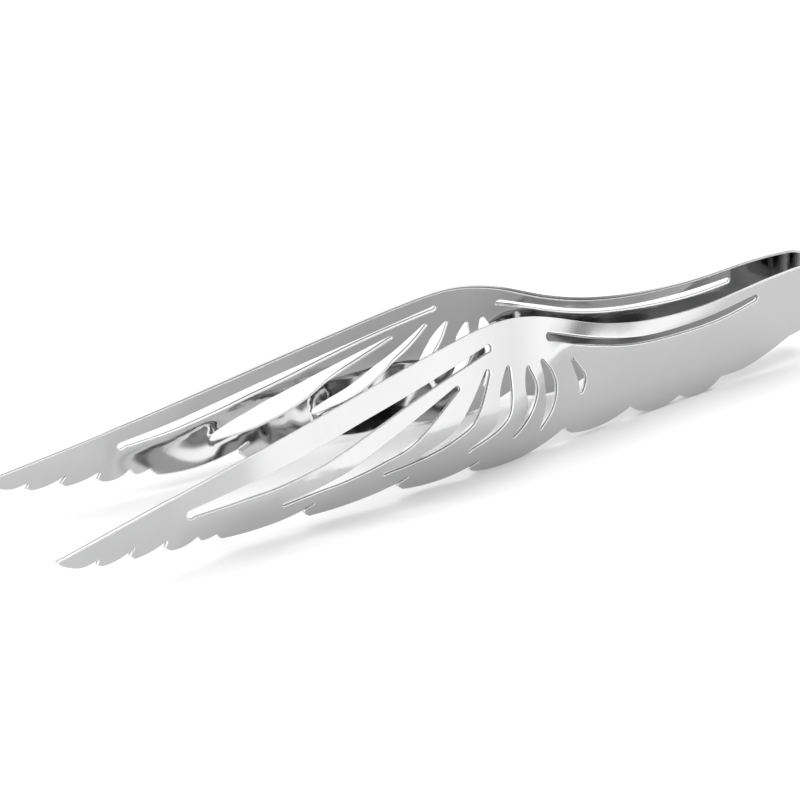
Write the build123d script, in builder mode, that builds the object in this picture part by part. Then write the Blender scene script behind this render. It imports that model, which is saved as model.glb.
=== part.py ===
"""Wing-shaped ice tongs, millimetres.

The real tongs are one strip of 1 mm stainless sheet: two cut-out wing blades joined by a
narrow U-shaped spring bow.  The strip is split where it flexes, so the two arms can be
squeezed together: a bow, a right arm (+Y) and a left arm (-Y).

World frame: +X from the wing tips to the bow, +Z up, the tongs lying on their lower edges
on Z = 0, the plane of symmetry on Y = 0.

Each arm is drawn flat in its own upright plane: `along` runs from the wing tip to the bow
and `up` is the height.  The sheet bulges outward from that plane.
"""

import os
from math import cos, exp, log1p, radians, sin

from build123d import *

# ---------------------------------------------------------------- driving dimensions

SHEET = 1.0              # sheet thickness
LENGTH = 185.6           # over everything, tip to bow
SPLAY = 4.3              # each arm's angle to the plane of symmetry, degrees
TIP_SPREAD = 17.4        # symmetry plane to an arm's base plane, at the wing tip
SEAM_ALONG = 178.0       # where an arm ends and the bow begins
SEAM_GAP = 0.12          # clearance at the seam, each side of the flex line
SLIT_WIDTH = 0.35        # saw-thin slits behind the long feather tips
SLIT_LENGTH = 2.2
SLIT_RISE = 22.0         # slope of those slits, degrees
CUT_REACH = 12.0         # how far cutting shapes run each side of an arm's base plane

# Heights of the sheet's edges along the arm, used by the outline and by the bulge.
TOP_EDGE = (
    (0.0, 10.6), (19.6, 14.5), (44.9, 19.9), (72.0, 26.1), (89.8, 29.9), (100.5, 31.2),
    (109.7, 29.8), (122.2, 25.0), (134.0, 21.8), (147.0, 20.5), (160.0, 20.9), (172.0, 22.2),
    (SEAM_ALONG, 22.6),
)
BOTTOM_LINE = (
    (0.0, 9.0), (10.0, 6.5), (24.0, 4.6), (40.0, 3.1), (70.0, 2.0), (98.0, 0.3), (118.0, 1.6),
    (153.0, 0.0), (168.0, 3.0), (SEAM_ALONG, 6.6),
)

# How far the pressed sheet stands out of its base plane: at the top edge, along the crest
# of the wing and at the bottom edge.
SEAM_BULGE = 0.24        # flat sheet: what the softened crest takes off there
TOP_BULGE = (
    (0.0, 0.1), (10.0, -0.1), (28.0, -0.5), (60.0, -0.6), (74.0, -0.75), (98.0, -0.9),
    (115.0, -1.4), (131.0, -0.85), (148.0, -0.4), (164.0, -0.2), (SEAM_ALONG, SEAM_BULGE),
)
CREST_HEIGHT = (
    (0.0, 10.0), (24.0, 11.0), (40.0, 11.0), (46.0, 11.7), (52.0, 12.6), (57.0, 12.9), (61.0, 12.3),
    (66.0, 12.6), (73.0, 13.8), (82.0, 14.3), (92.0, 14.0), (98.0, 13.3), (103.0, 14.5), (110.0, 19.5),
    (115.0, 22.3), (119.0, 22.6), (130.0, 19.4), (138.0, 18.0), (147.0, 17.2), (158.0, 17.4),
    (SEAM_ALONG, 18.0),
)
CREST_BULGE = (
    (0.0, 0.1), (24.0, -0.3), (25.0, -0.2), (27.0, 0.35), (33.0, 0.9), (40.0, 1.65),
    (46.0, 2.6), (52.0, 3.2), (57.0, 3.9), (61.0, 4.5), (66.0, 4.8), (73.0, 5.0),
    (82.0, 5.3), (92.0, 5.5), (98.0, 5.5), (103.0, 4.9), (110.0, 3.2), (115.0, 2.3),
    (120.0, 1.7), (130.0, 1.4), (147.0, 1.0), (158.0, 0.8), (SEAM_ALONG, SEAM_BULGE),
)
BOTTOM_BULGE = (
    (0.0, 0.1), (8.0, 0.0), (24.0, -0.3), (27.0, -0.6), (33.0, -0.75), (40.0, -0.8), (53.0, -0.15),
    (64.0, 0.3), (78.0, 0.7), (98.0, 1.2), (118.0, 0.9), (135.0, 0.5), (155.0, 0.2),
    (SEAM_ALONG, SEAM_BULGE),
)
CREST_SOFTNESS = 0.35

# Louvres: along the second and third slot the sheet above stands out and the sheet below sinks in.
# Each has three (along, value) tables: the slot's height, how far the sheet above it is raised,
# and how far the sheet below it is sunk.
LOUVRES = (
    (((48.0, 8.1), (54.0, 8.7), (60.0, 10.0), (66.0, 11.6), (75.0, 13.0)),
     ((47.5, 0.0), (51.0, 0.9), (54.0, 1.4), (57.0, 1.2), (60.0, 0.3), (62.0, 0.0)),
     ((47.5, 0.0), (51.0, 0.35), (56.0, 0.85), (60.0, 1.15), (64.0, 1.2), (68.0, 0.85), (75.0, 0.0))),
    (((71.0, 8.1), (75.0, 8.5), (79.0, 9.2), (84.0, 11.0), (90.0, 12.5)),
     ((70.5, 0.0), (73.5, 0.5), (76.0, 0.65), (82.0, 0.5), (86.0, 0.0)),
     ((70.5, 0.0), (73.5, 0.4), (76.0, 0.4), (80.0, 0.2), (84.0, 0.0))),
)
LOUVRE_SOFTNESS = 0.5

# Rounded wing tip, then each feather end: notch, tip, start of its belly, lowest stretch.
WING_TIP = ((0.0, 10.6), (0.5, 9.9), (1.6, 9.1), (5.0, 7.7))
FEATHERS = (
    ((8.9, 8.3), (8.3, 7.1), (9.4, 6.5), (13.0, 6.8)),
    ((16.6, 8.3), (15.3, 6.7), (16.3, 5.7), (19.6, 6.0)),
    ((23.7, 7.4), (22.9, 5.8), (24.0, 4.9), (27.0, 4.8)),
    ((30.1, 6.3), (30.2, 5.5), (30.9, 4.8), (32.4, 4.8)),
    ((34.2, 5.3), (34.5, 4.5), (35.4, 3.7), (43.0, 3.2)),
    ((53.5, 4.7), (53.7, 3.6), (54.8, 2.6), (64.0, 2.6)),
    ((74.9, 4.2), (75.0, 3.2), (76.3, 2.1), (83.5, 1.4)),
    ((91.9, 2.7), (92.0, 1.9), (93.4, 0.9), (101.5, 0.0)),
    ((116.5, 3.7), (116.9, 2.8), (118.2, 1.8), (125.0, 0.9)),
)
LONG_FEATHERS = FEATHERS[5:8]
# Finger scallops under the grip: cusp, belly, cusp, belly, then the run up to the bow.
SCALLOPS = ((134.0, 3.0), (140.6, 0.1), (147.6, 1.6), (152.8, 0.0), (159.0, 2.6))
GRIP_RUN = ((159.0, 2.6), (165.0, 2.6), (171.0, 4.1), (SEAM_ALONG, 6.6))

# Slots: one end, the side leading from it, the other end, the side leading back.
SLOTS = (
    # long slot under the top edge of the wing
    ((27.6, 11.6), ((28.6, 12.5), (41.0, 14.4), (65.5, 19.9), (80.0, 23.3), (96.4, 27.5)),
     (97.9, 27.0), ((96.8, 26.2), (79.5, 21.7), (61.5, 15.9), (45.0, 12.2), (29.2, 11.0))),
    # second feather gap
    ((48.0, 8.0), ((48.6, 8.7), (60.0, 11.8), (69.0, 14.9), (88.0, 21.9)),
     (88.9, 21.6), ((88.3, 20.8), (78.0, 14.7), (66.3, 9.8), (57.0, 8.1), (49.0, 7.5))),
    # third feather gap
    ((70.6, 8.2), ((71.2, 8.7), (78.1, 10.4), (87.4, 15.1), (95.4, 23.0)),
     (96.2, 23.2), ((96.4, 22.3), (92.3, 16.0), (83.3, 10.0), (71.5, 7.7))),
    # fan of short feather gaps
    ((90.5, 7.4), ((90.9, 7.9), (95.6, 11.6), (98.3, 19.1), (100.4, 22.4)),
     (101.0, 22.7), ((101.3, 22.0), (100.6, 16.4), (97.6, 10.9), (91.4, 7.4))),
    ((101.8, 6.8), ((102.0, 7.4), (104.4, 11.6), (104.2, 17.5), (105.2, 21.0)),
     (105.8, 21.4), ((106.2, 20.8), (107.5, 14.8), (105.8, 9.9), (102.5, 6.9))),
    ((109.8, 5.5), ((109.8, 6.2), (110.8, 11.0), (109.2, 18.4), (108.9, 21.2)),
     (109.3, 21.8), ((109.9, 21.4), (113.4, 14.9), (112.6, 8.6), (110.4, 5.9))),
    ((117.2, 19.7), ((117.9, 19.2), (119.8, 16.8), (121.6, 13.4), (121.1, 11.0)),
     (120.5, 10.5), ((120.1, 11.1), (119.8, 12.8), (118.6, 15.8), (117.2, 18.9))),
    # grip slot along the top of the handle
    ((111.5, 25.4),
     ((112.3, 26.1), (122.2, 22.5), (132.0, 19.5), (147.0, 17.9), (160.0, 18.6), (167.2, 19.5)),
     (168.2, 18.9),
     ((167.4, 18.0), (160.0, 16.8), (147.0, 16.5), (132.0, 18.2), (122.0, 21.1), (112.5, 24.5))),
)

# Band of the bow: heights of its edges at the seam and at the crown.
BOW_TOP = (22.6, 22.7)
BOW_BOTTOM = (6.6, 8.2)

SURFACE_STEP = 1.5       # spacing of the points that carry the pressed surface
SURFACE_ROWS = 19
SURFACE_MARGIN = 2.5     # the surface is made this much larger than the outline

# ---------------------------------------------------------------- frame of the arms

TIP_X = -LENGTH / 2
SPLAY_SIN = sin(radians(SPLAY))
SPLAY_COS = cos(radians(SPLAY))
ARM_PLANE = Plane(
    origin=(TIP_X, TIP_SPREAD, 0),
    x_dir=(SPLAY_COS, -SPLAY_SIN, 0),
    z_dir=(-SPLAY_SIN, -SPLAY_COS, 0),
)


def arm_point(along, up, outward):
    """World position of a point of the right arm."""
    x = TIP_X + along * SPLAY_COS + outward * SPLAY_SIN
    y = TIP_SPREAD - along * SPLAY_SIN + outward * SPLAY_COS
    return (x, y, up)


# ---------------------------------------------------------------- pressed surface


def smooth_value(table, along):
    """Value of a (position, value) table, eased between its rows without overshoot."""
    along = min(max(along, table[0][0]), table[-1][0])
    row = 0
    while row < len(table) - 2 and along > table[row + 1][0]:
        row += 1
    slopes = [(b[1] - a[1]) / (b[0] - a[0]) for a, b in zip(table, table[1:])]

    def tangent(index):
        if index == 0 or index == len(table) - 1:
            return slopes[max(index - 1, 0)]
        before, after = slopes[index - 1], slopes[index]
        return 2 * before * after / (before + after) if before * after > 0 else 0.0

    span = table[row + 1][0] - table[row][0]
    t = (along - table[row][0]) / span
    rise = table[row + 1][1] - table[row][1]
    start, end = tangent(row) * span, tangent(row + 1) * span
    square, cube = 3 * rise - 2 * start - end, start + end - 2 * rise
    return table[row][1] + t * start + t * t * square + t ** 3 * cube


def louvre(along, up, crest, bottom, heights, raises, depths):
    """How far one louvre moves the sheet outward, fading out at the crest and at the lower edge."""
    height = smooth_value(heights, along)
    share_below = 1 / (1 + exp((up - height) / LOUVRE_SOFTNESS))
    outward = smooth_value(raises, along) * min(max((crest - up) / (crest - height), 0), 1)
    inward_below = smooth_value(depths, along) * min(max((up - bottom) / (height - bottom), 0), 1)
    return outward * (1 - share_below) - inward_below * share_below


def bulge(along, up):
    """How far the middle of the sheet stands out of the arm's base plane."""
    top, bottom = smooth_value(TOP_EDGE, along), smooth_value(BOTTOM_LINE, along)
    crest = smooth_value(CREST_HEIGHT, along)
    crest_out = smooth_value(CREST_BULGE, along)
    above = crest_out + (smooth_value(TOP_BULGE, along) - crest_out) * (up - crest) / (top - crest)
    below = crest_out + (smooth_value(BOTTOM_BULGE, along) - crest_out) * (crest - up) / (crest - bottom)
    ridge = min(above, below) - CREST_SOFTNESS * log1p(exp(-abs(above - below) / CREST_SOFTNESS))
    return ridge + sum(louvre(along, up, crest, bottom, *tables) for tables in LOUVRES)


def pressed_surface():
    """The middle surface of the right arm, larger than the arm's outline all round."""
    columns = int((SEAM_ALONG + 2 * SURFACE_MARGIN) / SURFACE_STEP) + 1
    grid = []
    for column in range(columns):
        along = -SURFACE_MARGIN + column * SURFACE_STEP
        low = smooth_value(BOTTOM_LINE, along) - SURFACE_MARGIN
        high = smooth_value(TOP_EDGE, along) + SURFACE_MARGIN
        line = []
        for row in range(SURFACE_ROWS):
            up = low + (high - low) * row / (SURFACE_ROWS - 1)
            line.append(Vector(*arm_point(along, up, bulge(along, up))))
        grid.append(line)
    return Face.make_surface_from_array_of_points(grid, tol=0.02, min_deg=3, max_deg=5)


# ---------------------------------------------------------------- right arm

with BuildPart() as right_arm:
    thicken(to_thicken=pressed_surface(), amount=SHEET / 2, both=True)

    # wing outline
    with BuildSketch(ARM_PLANE):
        with BuildLine():
            Spline(*TOP_EDGE)
            Spline(*WING_TIP, FEATHERS[0][0])
            notches = [feather[0] for feather in FEATHERS] + [SCALLOPS[0]]
            for feather, next_notch in zip(FEATHERS, notches[1:]):
                Polyline(feather[0], feather[1], feather[2])
                ThreePointArc(feather[2], feather[3], next_notch)
            ThreePointArc(*SCALLOPS[0:3])
            ThreePointArc(*SCALLOPS[2:5])
            Spline(*GRIP_RUN)
            Line(GRIP_RUN[-1], TOP_EDGE[-1])
        make_face()
    extrude(amount=CUT_REACH, both=True, mode=Mode.INTERSECT)

    # feather gaps and grip slot
    with BuildSketch(ARM_PLANE):
        for first_end, side_out, second_end, side_back in SLOTS:
            with BuildLine():
                Spline(*side_out)
                ThreePointArc(side_out[-1], second_end, side_back[0])
                Spline(*side_back)
                ThreePointArc(side_back[-1], first_end, side_out[0])
            make_face()
    extrude(amount=CUT_REACH, both=True, mode=Mode.SUBTRACT)

    # thin slits behind the long feather tips
    with BuildSketch(ARM_PLANE):
        for feather in LONG_FEATHERS:
            with Locations(Location(feather[0], SLIT_RISE)):
                SlotCenterToCenter(2 * SLIT_LENGTH, SLIT_WIDTH)
    extrude(amount=CUT_REACH, both=True, mode=Mode.SUBTRACT)

right_arm.part.label = "right_arm"

# ---------------------------------------------------------------- left arm

with BuildPart() as left_arm:
    mirror(right_arm.part, about=Plane.XZ)

left_arm.part.label = "left_arm"

# ---------------------------------------------------------------- spring bow

seam = arm_point(SEAM_ALONG + SEAM_GAP, 0, 0)
crown_x = LENGTH / 2 - SHEET / 2
# the round end touches both straight sides: solve for its radius and centre
bow_radius = (seam[1] * SPLAY_COS - (crown_x - seam[0]) * SPLAY_SIN) / (1 - SPLAY_SIN)
bow_centre_x = crown_x - bow_radius
tangent_x = bow_centre_x + bow_radius * SPLAY_SIN
tangent_y = bow_radius * SPLAY_COS

with BuildPart() as spring_bow:
    with BuildSketch(Plane.XY):
        with BuildLine():
            Line((seam[0], seam[1]), (tangent_x, tangent_y))
            ThreePointArc((tangent_x, tangent_y), (crown_x, 0), (tangent_x, -tangent_y))
            Line((tangent_x, -tangent_y), (seam[0], -seam[1]))
        trace(line_width=SHEET)
    extrude(amount=2 * BOW_TOP[0])

    # sloping upper and lower edges of the band
    with BuildSketch(Plane.XZ):
        with BuildLine():
            Polyline(
                (seam[0] - SHEET, BOW_BOTTOM[0]),
                (LENGTH / 2 + SHEET, BOW_BOTTOM[1]),
                (LENGTH / 2 + SHEET, BOW_TOP[1]),
                (seam[0] - SHEET, BOW_TOP[0]),
                close=True,
            )
        make_face()
    extrude(amount=CUT_REACH, both=True, mode=Mode.INTERSECT)

spring_bow.part.label = "spring_bow"

# ---------------------------------------------------------------- export

os.makedirs("parts", exist_ok=True)
for body in (spring_bow, right_arm, left_arm):
    export_step(body.part, f"parts/{body.part.label}.step")
    print(body.part.label, body.part.bounding_box(), round(body.part.volume, 1), len(body.part.solids()))
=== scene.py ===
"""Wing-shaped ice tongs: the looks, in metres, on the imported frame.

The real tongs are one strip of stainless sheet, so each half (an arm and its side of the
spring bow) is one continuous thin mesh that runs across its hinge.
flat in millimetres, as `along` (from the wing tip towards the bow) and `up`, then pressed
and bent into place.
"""
from math import atan2, cos, hypot, pi, radians, sin

import bpy
import numpy as np
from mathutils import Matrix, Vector
from mathutils.geometry import delaunay_2d_cdt

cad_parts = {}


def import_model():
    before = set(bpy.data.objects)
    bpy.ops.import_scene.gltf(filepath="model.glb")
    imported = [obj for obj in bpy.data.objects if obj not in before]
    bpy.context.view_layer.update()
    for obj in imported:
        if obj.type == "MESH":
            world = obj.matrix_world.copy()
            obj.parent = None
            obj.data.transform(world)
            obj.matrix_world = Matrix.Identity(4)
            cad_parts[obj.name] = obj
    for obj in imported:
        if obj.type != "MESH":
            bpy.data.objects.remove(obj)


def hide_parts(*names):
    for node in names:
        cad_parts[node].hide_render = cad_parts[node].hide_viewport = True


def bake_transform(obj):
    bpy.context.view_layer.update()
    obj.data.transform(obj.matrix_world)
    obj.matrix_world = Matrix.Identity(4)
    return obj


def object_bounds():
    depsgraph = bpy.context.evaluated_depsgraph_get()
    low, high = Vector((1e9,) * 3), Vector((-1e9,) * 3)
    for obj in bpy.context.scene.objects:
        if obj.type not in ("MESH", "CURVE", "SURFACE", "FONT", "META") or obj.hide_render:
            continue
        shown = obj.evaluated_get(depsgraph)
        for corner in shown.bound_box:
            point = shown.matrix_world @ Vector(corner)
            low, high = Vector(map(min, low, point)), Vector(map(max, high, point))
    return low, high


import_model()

CAD_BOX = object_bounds()
MM = 0.001

# ---------------------------------------------------------------- dimensions, millimetres

SHEET = 1.0              # sheet thickness
SPLAY = 4.3              # each arm's angle to the plane of symmetry, degrees
TIP_SPREAD = 17.4        # symmetry plane to an arm's base plane, at the wing tip
SEAM_ALONG = 178.0       # where the straight arm passes into the bow
SLIT_WIDTH = 0.35        # thin slits behind the long feather tips
SLIT_LENGTH = 2.2
SLIT_RISE = 22.0         # slope of those slits, degrees

# Cut edges: corner on the outside face, the zone beside it, corner on the inside face.  That
# zone is the bright one on the outline and the torn one in the slots.
OUTLINE_CUT = (0.12, 0.43, 0.22)
SLOT_CUT = (0.18, 0.26, 0.12)

TOP_EDGE = (
    (0.0, 10.6), (19.6, 14.5), (44.9, 19.9), (72.0, 26.1), (89.8, 29.9), (100.5, 31.2),
    (109.7, 29.8), (122.2, 25.0), (134.0, 21.8), (147.0, 20.5), (160.0, 20.9), (172.0, 22.2),
    (SEAM_ALONG, 22.6),
)
BOTTOM_LINE = (
    (0.0, 9.0), (10.0, 6.5), (24.0, 4.6), (40.0, 3.1), (70.0, 2.0), (98.0, 0.3), (118.0, 1.6),
    (153.0, 0.0), (168.0, 3.0), (SEAM_ALONG, 6.6),
)

# How far the pressed sheet stands out of its base plane: top edge, crest line and lower edge.
SEAM_BULGE = 0.24        # flat sheet: what the softened crest takes off there
TOP_BULGE = (
    (0.0, 0.1), (10.0, -0.1), (28.0, -0.5), (60.0, -0.6), (74.0, -0.75), (98.0, -0.9),
    (115.0, -1.4), (131.0, -0.85), (148.0, -0.4), (164.0, -0.2), (SEAM_ALONG, SEAM_BULGE),
)
CREST_HEIGHT = (
    (0.0, 10.0), (24.0, 11.0), (40.0, 11.0), (46.0, 11.7), (52.0, 12.6), (57.0, 12.9),
    (61.0, 12.3), (66.0, 12.6), (73.0, 13.8), (82.0, 14.3), (92.0, 14.0), (98.0, 13.3),
    (103.0, 14.5), (110.0, 19.5), (115.0, 22.3), (119.0, 22.6), (130.0, 19.4), (138.0, 18.0),
    (147.0, 17.2), (158.0, 17.4), (SEAM_ALONG, 18.0),
)
CREST_BULGE = (
    (0.0, 0.1), (24.0, -0.3), (25.0, -0.2), (27.0, 0.35), (33.0, 0.9), (40.0, 1.65),
    (46.0, 2.6), (52.0, 3.2), (57.0, 3.9), (61.0, 4.5), (66.0, 4.8), (73.0, 5.0),
    (82.0, 5.3), (92.0, 5.5), (98.0, 5.5), (103.0, 4.9), (110.0, 3.2), (115.0, 2.3),
    (120.0, 1.7), (130.0, 1.4), (147.0, 1.0), (158.0, 0.8), (SEAM_ALONG, SEAM_BULGE),
)
BOTTOM_BULGE = (
    (0.0, 0.1), (8.0, 0.0), (24.0, -0.3), (27.0, -0.6), (33.0, -0.75), (40.0, -0.8), (53.0, -0.15),
    (64.0, 0.3), (78.0, 0.7), (98.0, 1.2), (118.0, 0.9), (135.0, 0.5), (155.0, 0.2),
    (SEAM_ALONG, SEAM_BULGE),
)
CREST_SOFTNESS = 0.35    # how gently the slopes above and below the crest line meet

# Louvres: along the second and third slot the sheet above stands out and the sheet below sinks in.
# Each has three (along, value) tables: the slot's height, how far the sheet above it is raised,
# and how far the sheet below it is sunk.
LOUVRES = (
    (((48.0, 8.1), (54.0, 8.7), (60.0, 10.0), (66.0, 11.6), (75.0, 13.0)),
     ((47.5, 0.0), (51.0, 0.9), (54.0, 1.4), (57.0, 1.2), (60.0, 0.3), (62.0, 0.0)),
     ((47.5, 0.0), (51.0, 0.35), (56.0, 0.85), (60.0, 1.15), (64.0, 1.2), (68.0, 0.85),
      (75.0, 0.0))),
    (((71.0, 8.1), (75.0, 8.5), (79.0, 9.2), (84.0, 11.0), (90.0, 12.5)),
     ((70.5, 0.0), (73.5, 0.5), (76.0, 0.65), (82.0, 0.5), (86.0, 0.0)),
     ((70.5, 0.0), (73.5, 0.4), (76.0, 0.4), (80.0, 0.2), (84.0, 0.0))),
)
LOUVRE_SOFTNESS = 0.2    # how gently the sheet passes from raised to sunk at a louvre's slot

# Rounded wing tip, then each feather end: notch, tip, start of its belly, lowest stretch.
WING_TIP = ((0.0, 10.6), (0.5, 9.9), (1.6, 9.1), (5.0, 7.7))
FEATHERS = (
    ((8.9, 8.3), (8.3, 7.1), (9.4, 6.5), (13.0, 6.8)),
    ((16.6, 8.3), (15.3, 6.7), (16.3, 5.7), (19.6, 6.0)),
    ((23.7, 7.4), (22.9, 5.8), (24.0, 4.9), (27.0, 4.8)),
    ((30.1, 6.3), (30.2, 5.5), (30.9, 4.8), (32.4, 4.8)),
    ((34.2, 5.3), (34.5, 4.5), (35.4, 3.7), (43.0, 3.2)),
    ((53.5, 4.7), (53.7, 3.6), (54.8, 2.6), (64.0, 2.6)),
    ((74.9, 4.2), (75.0, 3.2), (76.3, 2.1), (83.5, 1.4)),
    ((91.9, 2.7), (92.0, 1.9), (93.4, 0.9), (101.5, 0.0)),
    ((116.5, 3.7), (116.9, 2.8), (118.2, 1.8), (125.0, 0.9)),
)
SLIT_FEATHERS = (5, 6, 7)
SCALLOPS = ((134.0, 3.0), (140.6, 0.1), (147.6, 1.6), (152.8, 0.0), (159.0, 2.6))
GRIP_RUN = ((159.0, 2.6), (165.0, 2.6), (171.0, 4.1), (SEAM_ALONG, 6.6))
BOW_TOP_AT_CROWN = 22.7
BOW_BOTTOM_AT_CROWN = 8.2

# Slots: one end, the side leading from it, the other end, the side leading back.
SLOTS = (
    ((27.6, 11.6), ((28.6, 12.5), (41.0, 14.4), (65.5, 19.9), (80.0, 23.3), (96.4, 27.5)),
     (97.9, 27.0), ((96.8, 26.2), (79.5, 21.7), (61.5, 15.9), (45.0, 12.2), (29.2, 11.0))),
    ((48.0, 8.0), ((48.6, 8.7), (60.0, 11.8), (69.0, 14.9), (88.0, 21.9)),
     (88.9, 21.6), ((88.3, 20.8), (78.0, 14.7), (66.3, 9.8), (57.0, 8.1), (49.0, 7.5))),
    ((70.6, 8.2), ((71.2, 8.7), (78.1, 10.4), (87.4, 15.1), (95.4, 23.0)),
     (96.2, 23.2), ((96.4, 22.3), (92.3, 16.0), (83.3, 10.0), (71.5, 7.7))),
    ((90.5, 7.4), ((90.9, 7.9), (95.6, 11.6), (98.3, 19.1), (100.4, 22.4)),
     (101.0, 22.7), ((101.3, 22.0), (100.6, 16.4), (97.6, 10.9), (91.4, 7.4))),
    ((101.8, 6.8), ((102.0, 7.4), (104.4, 11.6), (104.2, 17.5), (105.2, 21.0)),
     (105.8, 21.4), ((106.2, 20.8), (107.5, 14.8), (105.8, 9.9), (102.5, 6.9))),
    ((109.8, 5.5), ((109.8, 6.2), (110.8, 11.0), (109.2, 18.4), (108.9, 21.2)),
     (109.3, 21.8), ((109.9, 21.4), (113.4, 14.9), (112.6, 8.6), (110.4, 5.9))),
    ((117.2, 19.7), ((117.9, 19.2), (119.8, 16.8), (121.6, 13.4), (121.1, 11.0)),
     (120.5, 10.5), ((120.1, 11.1), (119.8, 12.8), (118.6, 15.8), (117.2, 18.9))),
    ((111.5, 25.4),
     ((112.3, 26.1), (122.2, 22.5), (132.0, 19.5), (147.0, 17.9), (160.0, 18.6), (167.2, 19.5)),
     (168.2, 18.9),
     ((167.4, 18.0), (160.0, 16.8), (147.0, 16.5), (132.0, 18.2), (122.0, 21.1), (112.5, 24.5))),
)

OUTLINE_STEP = 0.4       # spacing of outline points
GRID_STEP = 0.9          # spacing of points inside the sheet
RIM_CLEARANCE = 0.5 * GRID_STEP    # points inside the sheet keep this far from its rim
SLOPE_STEP = 0.02        # the sheet's slope is taken over this far to either side
CLOSE = 1e-4             # points nearer than this are the same point
MERGE = 1e-7             # the triangulation joins points nearer than this
SPLINE_SAMPLES = 40      # dense points per given point of a spline
ARC_SAMPLES = 60         # dense points on an arc
ARC_STEP_SHARE = 0.6     # longest spacing on a tight arc, as a share of its radius
BATCH = 500              # points compared with the rim at a time

# ---------------------------------------------------------------- place of the sheet

HALF_LENGTH = (CAD_BOX[1][0] - CAD_BOX[0][0]) / MM / 2
TIP_X = -HALF_LENGTH
SPLAY_SIN = sin(radians(SPLAY))
SPLAY_COS = cos(radians(SPLAY))
CROWN_X = HALF_LENGTH - SHEET / 2
SEAM_X = TIP_X + SEAM_ALONG * SPLAY_COS
SEAM_Y = TIP_SPREAD - SEAM_ALONG * SPLAY_SIN
# the round end of the bow touches both straight sides
BOW_RADIUS = (SEAM_Y * SPLAY_COS - (CROWN_X - SEAM_X) * SPLAY_SIN) / (1 - SPLAY_SIN)
BOW_CENTRE_X = CROWN_X - BOW_RADIUS
ROUND_ALONG = SEAM_ALONG + (BOW_CENTRE_X + BOW_RADIUS * SPLAY_SIN - SEAM_X) / SPLAY_COS
CROWN_ALONG = ROUND_ALONG + BOW_RADIUS * (pi / 2 - radians(SPLAY))


def smooth_value(table, along):
    """Value of a (position, value) table, eased between its rows without overshoot."""
    xs = np.array([row[0] for row in table])
    ys = np.array([row[1] for row in table])
    along = np.clip(along, xs[0], xs[-1])
    row = np.clip(np.searchsorted(xs, along) - 1, 0, len(xs) - 2)
    slopes = np.diff(ys) / np.diff(xs)
    before, after = slopes[:-1], slopes[1:]
    same_way = before * after > 0
    inner = np.where(same_way, 2 * before * after / np.where(same_way, before + after, 1), 0)
    tangents = np.concatenate(([slopes[0]], inner, [slopes[-1]]))
    span = np.diff(xs)[row]
    t = (along - xs[row]) / span
    rise = np.diff(ys)[row]
    start, end = tangents[row] * span, tangents[row + 1] * span
    square = 3 * rise - 2 * start - end
    cube = start + end - 2 * rise
    return ys[row] + t * start + t * t * square + t ** 3 * cube


def louvre(along, up, crest, bottom, heights, raises, depths):
    """How far one louvre moves the sheet outward, fading out at the crest and at the lower edge."""
    height = smooth_value(heights, along)
    share_below = 1 / (1 + np.exp((up - height) / LOUVRE_SOFTNESS))
    outward = smooth_value(raises, along) * np.clip((crest - up) / (crest - height), 0, 1)
    inward_below = smooth_value(depths, along) * np.clip((up - bottom) / (height - bottom), 0, 1)
    return outward * (1 - share_below) - inward_below * share_below


def bulge(along, up):
    """How far the middle of the sheet stands out of the arm's base plane.

    Two slopes meet softly along the crest line, and the louvres are added to them.
    """
    top, bottom = smooth_value(TOP_EDGE, along), smooth_value(BOTTOM_LINE, along)
    crest = smooth_value(CREST_HEIGHT, along)
    crest_out = smooth_value(CREST_BULGE, along)
    top_out, bottom_out = smooth_value(TOP_BULGE, along), smooth_value(BOTTOM_BULGE, along)
    above = crest_out + (top_out - crest_out) * (up - crest) / (top - crest)
    below = crest_out + (bottom_out - crest_out) * (crest - up) / (crest - bottom)
    softening = CREST_SOFTNESS * np.log1p(np.exp(-abs(above - below) / CREST_SOFTNESS))
    ridge = np.minimum(above, below) - softening
    return ridge + sum(louvre(along, up, crest, bottom, *tables) for tables in LOUVRES)


def middle(along, up):
    """Position of the sheet's middle surface, right half."""
    out = np.where(along < SEAM_ALONG, bulge(along, up), 0)
    straight = np.minimum(along, ROUND_ALONG)
    turn = np.maximum(along - ROUND_ALONG, 0) / BOW_RADIUS
    angle = pi / 2 - radians(SPLAY) - turn
    x = TIP_X + straight * SPLAY_COS
    y = TIP_SPREAD - straight * SPLAY_SIN
    bent = along > ROUND_ALONG
    x = np.where(bent, BOW_CENTRE_X + BOW_RADIUS * np.cos(angle), x) + out * np.cos(angle)
    y = np.where(bent, BOW_RADIUS * np.sin(angle), y) + out * np.sin(angle)
    return np.stack([x, y, up + 0 * x], axis=-1)


def unit(vectors):
    return vectors / np.linalg.norm(vectors, axis=-1, keepdims=True)


def sheet_frame(along, up):
    """Middle point, outward normal, and the unit directions along and up the sheet."""
    run = unit(middle(along + SLOPE_STEP, up) - middle(along - SLOPE_STEP, up))
    rise = unit(middle(along, up + SLOPE_STEP) - middle(along, up - SLOPE_STEP))
    normal = unit(np.cross(rise, run))
    return middle(along, up), normal, run, np.cross(run, normal)


# ---------------------------------------------------------------- outlines


def spaced(points, step):
    """Points at an even spacing along a dense polyline, both ends kept."""
    lengths = np.concatenate(([0], np.cumsum(np.linalg.norm(np.diff(points, axis=0), axis=1))))
    count = max(int(round(lengths[-1] / step)), 1) + 1
    at = np.linspace(0, lengths[-1], count)
    return np.stack([np.interp(at, lengths, points[:, k]) for k in range(2)], axis=1)


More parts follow.
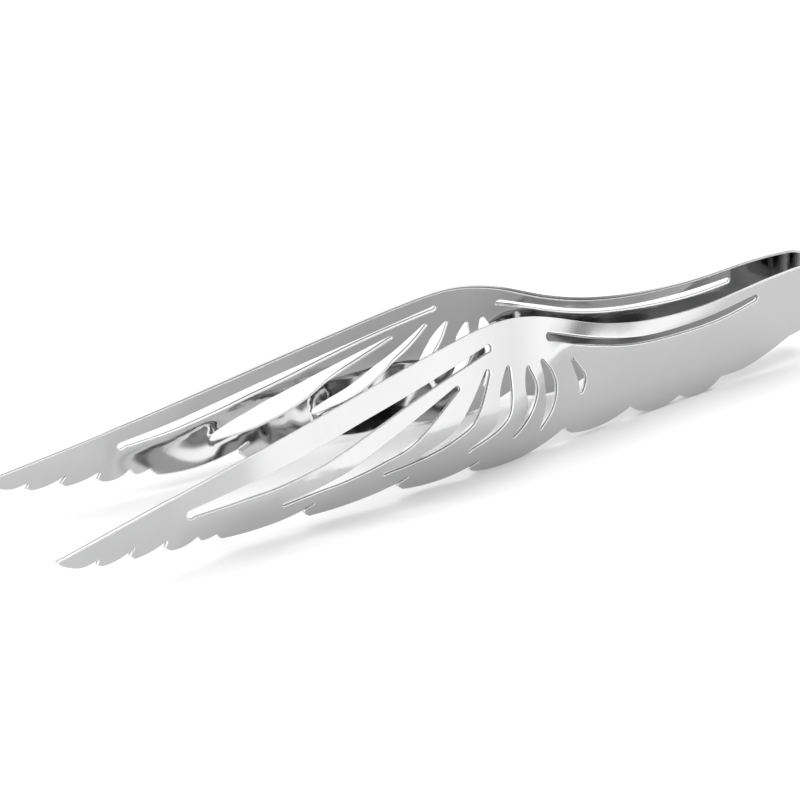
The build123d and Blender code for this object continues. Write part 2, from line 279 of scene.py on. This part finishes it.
def spline(*points):
    """Natural cubic spline through the points."""
    p = np.array(points, float)
    t = np.concatenate(([0], np.cumsum(np.linalg.norm(np.diff(p, axis=0), axis=1))))
    h = np.diff(t)
    n = len(p)
    system = np.eye(n)
    right = np.zeros((n, 2))
    for k in range(1, n - 1):
        system[k, k - 1:k + 2] = h[k - 1], 2 * (h[k - 1] + h[k]), h[k]
        right[k] = 6 * ((p[k + 1] - p[k]) / h[k] - (p[k] - p[k - 1]) / h[k - 1])
    bend = np.linalg.solve(system, right)
    fine = np.linspace(0, t[-1], SPLINE_SAMPLES * n)
    k = np.clip(np.searchsorted(t, fine) - 1, 0, n - 2)
    a = ((t[k + 1] - fine) / h[k])[:, None]
    b = 1 - a
    square = (h[k] ** 2 / 6)[:, None]
    bent = (a ** 3 - a) * bend[k] + (b ** 3 - b) * bend[k + 1]
    return spaced(a * p[k] + b * p[k + 1] + square * bent, OUTLINE_STEP)


def arc(first, middle_point, last):
    """Circular arc through three points."""
    (ax, ay), (bx, by), (cx, cy) = first, middle_point, last
    a2, b2, c2 = ax * ax + ay * ay, bx * bx + by * by, cx * cx + cy * cy
    d = 2 * (ax * (by - cy) + bx * (cy - ay) + cx * (ay - by))
    ux = (a2 * (by - cy) + b2 * (cy - ay) + c2 * (ay - by)) / d
    uy = (a2 * (cx - bx) + b2 * (ax - cx) + c2 * (bx - ax)) / d
    radius = hypot(ax - ux, ay - uy)
    angles = np.unwrap([atan2(y - uy, x - ux) for x, y in (first, middle_point, last)])
    sweep = np.linspace(angles[0], angles[2], ARC_SAMPLES)
    curve = np.stack([ux + radius * np.cos(sweep), uy + radius * np.sin(sweep)], axis=1)
    return spaced(curve, min(OUTLINE_STEP, radius * ARC_STEP_SHARE))


def line(*points):
    """Straight runs from point to point."""
    runs = [spaced(np.array([a, b], float), OUTLINE_STEP) for a, b in zip(points, points[1:])]
    return chain(*runs)


def chain(*runs):
    """Runs joined end to start, shared points kept once."""
    joined = [runs[0]]
    for run in runs[1:]:
        joined.append(run[1:] if np.allclose(run[0], joined[-1][-1], atol=CLOSE) else run)
    return np.concatenate(joined)


def slit(notch):
    """A thin round-ended slit going into the sheet from a notch."""
    direction = np.array([cos(radians(SLIT_RISE)), sin(radians(SLIT_RISE))])
    side = np.array([-direction[1], direction[0]]) * SLIT_WIDTH / 2
    start = np.array(notch)
    inner = start + direction * SLIT_LENGTH
    mouth_top, mouth_bottom = start + side, start - side
    return chain(
        line(mouth_top, inner + side),
        arc(inner + side, inner + direction * SLIT_WIDTH / 2, inner - side),
        line(inner - side, mouth_bottom),
    )


def lower_edge():
    """From the wing tip along the feathers, the scallops and the grip to the crown."""
    notches = [feather[0] for feather in FEATHERS] + [SCALLOPS[0]]
    runs = [spline(*WING_TIP, notches[0])]
    for number, (notch, tip, belly, low) in enumerate(FEATHERS):
        if number in SLIT_FEATHERS:
            runs.append(slit(notch))
            notch = runs[-1][-1]
        runs.append(line(notch, tip, belly))
        runs.append(arc(belly, low, notches[number + 1]))
    runs += [arc(*SCALLOPS[0:3]), arc(*SCALLOPS[2:5]), spline(*GRIP_RUN)]
    runs.append(line(GRIP_RUN[-1], (CROWN_ALONG, BOW_BOTTOM_AT_CROWN)))
    return chain(*runs)


def outer_loop():
    """The outline of one half: lower edge, crown, and the top edge back to the wing tip."""
    crown = line((CROWN_ALONG, BOW_BOTTOM_AT_CROWN), (CROWN_ALONG, BOW_TOP_AT_CROWN))
    top = chain(spline(*TOP_EDGE), line(TOP_EDGE[-1], (CROWN_ALONG, BOW_TOP_AT_CROWN)))
    return chain(lower_edge(), crown, top[::-1])[:-1]


def slot_loop(first_end, side_out, second_end, side_back):
    """One slot: two curved sides joined by an arc at each end."""
    return chain(
        spline(*side_out),
        arc(side_out[-1], second_end, side_back[0]),
        spline(*side_back),
        arc(side_back[-1], first_end, side_out[0]),
    )[:-1]


# ---------------------------------------------------------------- sheet mesh


def inside(points, loops):
    """Which points lie in the sheet: inside an odd number of loops."""
    x, y = points[:, 0], points[:, 1]
    odd = np.zeros(len(points), bool)
    for loop in loops:
        after = np.roll(loop, -1, axis=0)
        for (x0, y0), (x1, y1) in zip(loop, after):
            if y0 != y1:
                crosses = (y0 > y) != (y1 > y)
                odd ^= crosses & (x < x0 + (y - y0) * (x1 - x0) / (y1 - y0))
    return odd


def inward(loop):
    """Unit direction into the material at each point of a loop (material on the left).

    Where the loop runs along the crown, the edges that meet it there keep their own direction.
    """
    step = np.roll(loop, -1, axis=0) - loop
    along_crown = np.minimum(loop[:, 0], np.roll(loop[:, 0], -1)) > CROWN_ALONG - CLOSE
    after = unit(step) * np.where(along_crown, CLOSE, 1)[:, None]
    heading = unit(np.roll(after, 1, axis=0) + after)
    return np.stack([-heading[:, 1], heading[:, 0]], axis=1)


def inset(loop, distance):
    """The loop moved into the material; its ends on the crown stay on the crown."""
    moved = loop + distance * inward(loop)
    at_crown = loop[:, 0] > CROWN_ALONG - CLOSE
    moved[at_crown, 0] = CROWN_ALONG
    lowest, highest = BOW_BOTTOM_AT_CROWN + distance, BOW_TOP_AT_CROWN - distance
    moved[at_crown, 1] = np.clip(loop[at_crown, 1], lowest, highest)
    return moved


def near_edge(points, rim, clearance):
    """Which points lie closer than the clearance to any rim point."""
    close = np.zeros(len(points), bool)
    for start in range(0, len(points), BATCH):
        part = points[start:start + BATCH]
        gaps = np.min(np.sum((part[:, None, :] - rim[None, :, :]) ** 2, axis=2), axis=1)
        close[start:start + BATCH] = gaps < clearance ** 2
    return close


def flat_mesh(loops):
    """Triangles that fill the sheet between its loops: points and index triples."""
    rim = np.concatenate(loops)
    columns = np.arange(0, CROWN_ALONG, GRID_STEP)
    rows = np.arange(0, max(point[1] for point in TOP_EDGE), GRID_STEP)
    grid = np.array([
        (a + (k % 2) * GRID_STEP / 2, u) for k, u in enumerate(rows) for a in columns
    ])
    grid = grid[inside(grid, loops)]
    grid = grid[~near_edge(grid, rim, RIM_CLEARANCE)]
    points = np.concatenate([rim, grid])
    edges, start = [], 0
    for loop in loops:
        count = len(loop)
        edges += [(start + k, start + (k + 1) % count) for k in range(count)]
        start += count
    made = delaunay_2d_cdt([Vector(p) for p in points], edges, [], 0, MERGE)
    verts = np.array([tuple(v) for v in made[0]])
    triangles = np.array([face for face in made[2] if len(face) == 3])
    centres = verts[triangles].mean(axis=1)
    triangles = triangles[inside(centres, loops)]
    return verts, triangles


# material slots, in the order in which tongs_half adds the materials
OUTSIDE_SLOT, INSIDE_SLOT, CUT_SLOT, TORN_SLOT = 0, 1, 2, 3
LOOPS = [outer_loop()] + [slot_loop(*slot) for slot in SLOTS]
CUTS = [OUTLINE_CUT] + [SLOT_CUT] * len(SLOTS)
FLAT_POINTS, TRIANGLES = flat_mesh([inset(loop, cut[2]) for loop, cut in zip(LOOPS, CUTS)])


def half_sheet(name, side):
    """One half of the tongs as a closed thin mesh; side is 1 for the right, -1 for the left."""
    verts, corners, normals, slots, uvs = [], [], [], [], []
    half = SHEET / 2

    def add_points(points, depth):
        """Put points on the sheet at a depth from its middle; returns indices and normals."""
        centre, normal, _, _ = sheet_frame(points[:, 0], points[:, 1])
        start = sum(len(block) for block in verts)
        verts.append(centre + normal * depth)
        uvs.append(points)
        return np.arange(start, start + len(points)), normal

    def add_faces(faces, face_normals, slot):
        for face, face_normal in zip(faces, face_normals):
            order = slice(None, None, side)
            corners.append(tuple(face[order]))
            normals.append(face_normal[order])
            slots.append(slot)

    # the two broad faces: one set of triangles, with its rim set in by each face's own corner
    outer_rim = np.concatenate([inset(loop, cut[0]) for loop, cut in zip(LOOPS, CUTS)])
    outside_points = np.concatenate([outer_rim, FLAT_POINTS[len(outer_rim):]])
    index, normal = add_points(outside_points, half)
    reverse = TRIANGLES[:, ::-1]
    add_faces(index[reverse], normal[reverse], OUTSIDE_SLOT)
    index, normal = add_points(FLAT_POINTS, -half)
    add_faces(index[TRIANGLES], -normal[TRIANGLES], INSIDE_SLOT)

    # the cut edge round every loop: a softened corner, two zones and the other corner
    for loop, cut in zip(LOOPS, CUTS):
        _, normal, run, rise = sheet_frame(loop[:, 0], loop[:, 1])
        away = -inward(loop)
        rim_normal = unit(away[:, :1] * run + away[:, 1:] * rise)
        outer_round, outer_zone, inner_round = cut
        rings = [
            (add_points(inset(loop, outer_round), half)[0], normal),
            (add_points(loop, half - outer_round)[0], rim_normal),
            (add_points(loop, half - outer_round - outer_zone)[0], rim_normal),
            (add_points(loop, inner_round - half)[0], rim_normal),
            (add_points(inset(loop, inner_round), -half)[0], -normal),
        ]
        if cut is OUTLINE_CUT:
            zone_slots = (CUT_SLOT, CUT_SLOT, TORN_SLOT, CUT_SLOT)
        else:
            zone_slots = (CUT_SLOT, TORN_SLOT, CUT_SLOT, CUT_SLOT)
        ahead = (np.arange(len(loop)) + 1) % len(loop)
        for (outer, outer_normal), (inner, inner_normal), slot in zip(rings, rings[1:], zone_slots):
            faces = np.stack([outer, outer[ahead], inner[ahead], inner], axis=1)
            face_normals = np.stack(
                [outer_normal, outer_normal[ahead], inner_normal[ahead], inner_normal], axis=1
            )
            add_faces(faces, face_normals, slot)

    mirror = np.array([1, side, 1])
    positions = np.concatenate(verts) * mirror * MM
    mesh = bpy.data.meshes.new(name)
    mesh.from_pydata(positions.tolist(), [], corners)
    mesh.polygons.foreach_set("material_index", slots)
    mesh.polygons.foreach_set("use_smooth", [True] * len(slots))
    layer = mesh.uv_layers.new(name="sheet")
    flat_uv = np.concatenate(uvs) / CROWN_ALONG
    loop_vertices = np.empty(len(mesh.loops), int)
    mesh.loops.foreach_get("vertex_index", loop_vertices)
    layer.data.foreach_set("uv", flat_uv[loop_vertices].ravel())
    corner_normals = np.concatenate([np.asarray(block) for block in normals]) * mirror
    mesh.normals_split_custom_set(corner_normals.tolist())
    mesh.update()
    piece = bpy.data.objects.new(name, mesh)
    bpy.context.collection.objects.link(piece)
    return piece


# ---------------------------------------------------------------- materials

DULL_SHARE = (0.93, 0.93, 0.94)    # the steel's colour in its dullest places, against the tone
NOISE_LOW, NOISE_HIGH = 0.3, 0.7   # a noise texture's values lie mostly between these
SPECK_SHARE = 0.25                 # share of fine specks in the relief; the rest is lines
RELIEF_DEPTH = 0.00002             # metres


def new_material(name):
    material = bpy.data.materials.new(name)
    material.use_nodes = True
    nodes, links = material.node_tree.nodes, material.node_tree.links
    return material, nodes, links, nodes["Principled BSDF"]


def steel(name, tone, roughness, spread, brush, bump):
    """Stainless steel, with its roughness varied by up to spread.

    brush is the share of fine lines across the blade in that variation; the rest is cloudy.
    """
    material, nodes, links, shader = new_material(name)
    shader.inputs["Metallic"].default_value = 1.0
    uv = nodes.new("ShaderNodeUVMap")
    uv.uv_map = "sheet"

    def noise(scale, stretch, detail):
        mapping = nodes.new("ShaderNodeMapping")
        mapping.inputs["Scale"].default_value = stretch
        texture = nodes.new("ShaderNodeTexNoise")
        texture.inputs["Scale"].default_value = scale
        texture.inputs["Detail"].default_value = detail
        links.new(uv.outputs["UV"], mapping.inputs["Vector"])
        links.new(mapping.outputs["Vector"], texture.inputs["Vector"])
        return texture.outputs["Fac"]

    lines = noise(scale=60.0, stretch=(16.0, 0.5, 1.0), detail=4.0)
    cloud = noise(scale=22.0, stretch=(1.0, 1.0, 1.0), detail=5.0)
    speck = noise(scale=420.0, stretch=(1.0, 1.0, 1.0), detail=2.0)

    colour = nodes.new("ShaderNodeMix")
    colour.data_type = "RGBA"
    colour.inputs["A"].default_value = (*(tone * share for share in DULL_SHARE), 1)
    colour.inputs["B"].default_value = (tone, tone, tone, 1)
    links.new(cloud, colour.inputs["Factor"])
    links.new(colour.outputs["Result"], shader.inputs["Base Color"])

    mixed = nodes.new("ShaderNodeMix")
    mixed.inputs["Factor"].default_value = brush
    links.new(cloud, mixed.inputs["A"])
    links.new(lines, mixed.inputs["B"])
    levels = nodes.new("ShaderNodeMapRange")
    levels.inputs["From Min"].default_value = NOISE_LOW
    levels.inputs["From Max"].default_value = NOISE_HIGH
    levels.inputs["To Min"].default_value = roughness - spread
    levels.inputs["To Max"].default_value = roughness + spread
    links.new(mixed.outputs["Result"], levels.inputs["Value"])
    links.new(levels.outputs["Result"], shader.inputs["Roughness"])

    relief = nodes.new("ShaderNodeMix")
    relief.inputs["Factor"].default_value = SPECK_SHARE
    links.new(lines, relief.inputs["A"])
    links.new(speck, relief.inputs["B"])
    bumps = nodes.new("ShaderNodeBump")
    bumps.inputs["Strength"].default_value = bump
    bumps.inputs["Distance"].default_value = RELIEF_DEPTH
    links.new(relief.outputs["Result"], bumps.inputs["Height"])
    links.new(bumps.outputs["Normal"], shader.inputs["Normal"])
    return material


OUTSIDE = steel(
    "steel_brushed_outside", tone=0.5, roughness=0.24, spread=0.04, brush=0.7, bump=0.14
)
INSIDE = steel(
    "steel_bright_inside", tone=0.5, roughness=0.07, spread=0.02, brush=0.4, bump=0.06
)
CUT = steel("steel_cut_edge", tone=0.88, roughness=0.25, spread=0.08, brush=0.5, bump=0.1)
TORN = steel("steel_torn_edge", tone=0.2, roughness=0.5, spread=0.1, brush=0.5, bump=0.2)


def tongs_half(name, side, nodes_replaced):
    piece = half_sheet(name, side)
    for material in (OUTSIDE, INSIDE, CUT, TORN):
        piece.data.materials.append(material)
    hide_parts(*nodes_replaced)
    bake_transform(piece)
    return piece


tongs_half("sheet_right", 1, ("right_arm", "spring_bow"))
tongs_half("sheet_left", -1, ("left_arm",))

# ---------------------------------------------------------------- floor, light, camera (metres)

FLOOR_REACH = 3.0
FLOOR_WHITE = 0.9
FLOOR_ROUGHNESS = 0.7
FLOOR_SPECULAR = 0.1

# Brightness of the surroundings by the sine of the elevation, on the camera's side (front) and
# on the far side (back).  One passes into the other as the direction's part along Y grows from
# BACK_FROM to BACK_FULL.
FRONT_LEVELS = (
    (0.0, 1.2), (0.06, 1.8), (0.2, 2.1), (0.37, 2.1), (0.45, 0.3), (0.8, 0.2), (0.93, 0.9),
    (1.0, 1.1),
)
BACK_LEVELS = ((0.0, 1.0), (0.3, 1.05), (0.6, 1.3), (0.9, 1.3), (1.0, 1.1))
BACK_FROM, BACK_FULL = 0.05, 0.45

OVERHEAD_SIZE = (0.9, 0.9)
OVERHEAD_HEIGHT = 1.0
OVERHEAD_POWER = 6.0     # watts

CAMERA_POSITION = (-0.2586, -0.4281, 0.2769)
CAMERA_FORWARD = (0.4440, 0.7637, -0.4686)
CAMERA_LENS = 125.55     # millimetres, on the default 36 mm sensor
CAMERA_NEAR = 0.01


def floor():
    mesh = bpy.data.meshes.new("floor")
    signs = ((-1, -1), (1, -1), (1, 1), (-1, 1))
    corners = [(x * FLOOR_REACH, y * FLOOR_REACH, 0) for x, y in signs]
    mesh.from_pydata(corners, [], [(0, 1, 2, 3)])
    plane = bpy.data.objects.new("floor", mesh)
    bpy.context.collection.objects.link(plane)
    material, _, _, shader = new_material("floor_white")
    shader.inputs["Base Color"].default_value = (FLOOR_WHITE, FLOOR_WHITE, FLOOR_WHITE, 1)
    shader.inputs["Roughness"].default_value = FLOOR_ROUGHNESS
    shader.inputs["Specular IOR Level"].default_value = FLOOR_SPECULAR
    mesh.materials.append(material)


def world():
    """Studio surroundings: white behind; in front, white low down and overhead, dark between."""
    scene_world = bpy.data.worlds.new("studio")
    bpy.context.scene.world = scene_world
    scene_world.use_nodes = True
    nodes, links = scene_world.node_tree.nodes, scene_world.node_tree.links
    background = nodes["Background"]
    place = nodes.new("ShaderNodeTexCoord")
    split = nodes.new("ShaderNodeSeparateXYZ")
    links.new(place.outputs["Generated"], split.inputs["Vector"])

    def levels(stops):
        """Brightness by the sine of the elevation."""
        ramp = nodes.new("ShaderNodeValToRGB")
        links.new(split.outputs["Z"], ramp.inputs["Fac"])
        ramp.color_ramp.elements[0].position = stops[0][0]
        ramp.color_ramp.elements[1].position = stops[-1][0]
        for position, _ in stops[1:-1]:
            ramp.color_ramp.elements.new(position)
        for element, (_, level) in zip(ramp.color_ramp.elements, stops):
            element.color = (level, level, level, 1)
        return ramp.outputs["Color"]

    behind = nodes.new("ShaderNodeMapRange")
    behind.interpolation_type = "SMOOTHSTEP"
    behind.inputs["From Min"].default_value = BACK_FROM
    behind.inputs["From Max"].default_value = BACK_FULL
    links.new(split.outputs["Y"], behind.inputs["Value"])
    mixed = nodes.new("ShaderNodeMix")
    mixed.data_type = "RGBA"
    links.new(behind.outputs["Result"], mixed.inputs["Factor"])
    links.new(levels(FRONT_LEVELS), mixed.inputs["A"])
    links.new(levels(BACK_LEVELS), mixed.inputs["B"])
    links.new(mixed.outputs["Result"], background.inputs["Color"])


def overhead_light():
    """A broad soft lamp above; the metal doesn't mirror it."""
    data = bpy.data.lights.new("overhead", "AREA")
    data.shape = "RECTANGLE"
    data.size, data.size_y = OVERHEAD_SIZE
    data.energy = OVERHEAD_POWER
    lamp = bpy.data.objects.new("overhead", data)
    lamp.location = (0, 0, OVERHEAD_HEIGHT)
    lamp.visible_glossy = False
    bpy.context.collection.objects.link(lamp)


def camera():
    data = bpy.data.cameras.new("camera")
    data.lens = CAMERA_LENS
    data.clip_start = CAMERA_NEAR
    eye = bpy.data.objects.new("camera", data)
    eye.location = CAMERA_POSITION
    eye.rotation_euler = Vector(CAMERA_FORWARD).to_track_quat("-Z", "Y").to_euler()
    bpy.context.collection.objects.link(eye)
    bpy.context.scene.camera = eye


floor()
world()
overhead_light()
camera()
bpy.context.scene.view_settings.view_transform = "Standard"
